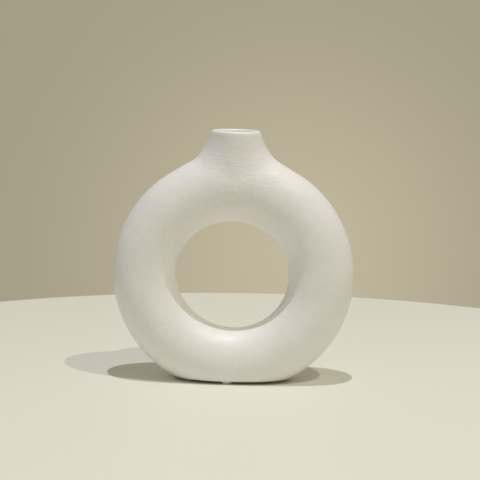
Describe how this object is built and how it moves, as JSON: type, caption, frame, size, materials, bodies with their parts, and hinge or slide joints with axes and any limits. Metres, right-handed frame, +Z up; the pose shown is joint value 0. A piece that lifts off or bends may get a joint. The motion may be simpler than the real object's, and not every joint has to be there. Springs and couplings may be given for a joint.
{
  "type": "donut vase",
  "caption": "Upright ring-shaped ceramic vase with a round open middle, a short flared neck and a flat underside on clear bumpers.",
  "frame": {"origin": "on the table under the middle of the vase, at the undersides of the bumpers", "axes": "+Z up, out of the mouth; the hole through the ring runs along Y, with the front towards -Y; the ring's width runs along X"},
  "size_m": [0.191, 0.045, 0.2],
  "materials": {
    "ceramic_glaze": "satin",
    "clear_bumper": "satin"
  },
  "bodies": {
    "root": {"vase_body": "ceramic_glaze", "bumper_front": "clear_bumper", "bumper_back": "clear_bumper", "bumper_left": "clear_bumper", "bumper_right": "clear_bumper"}
  },
  "joints": []
}
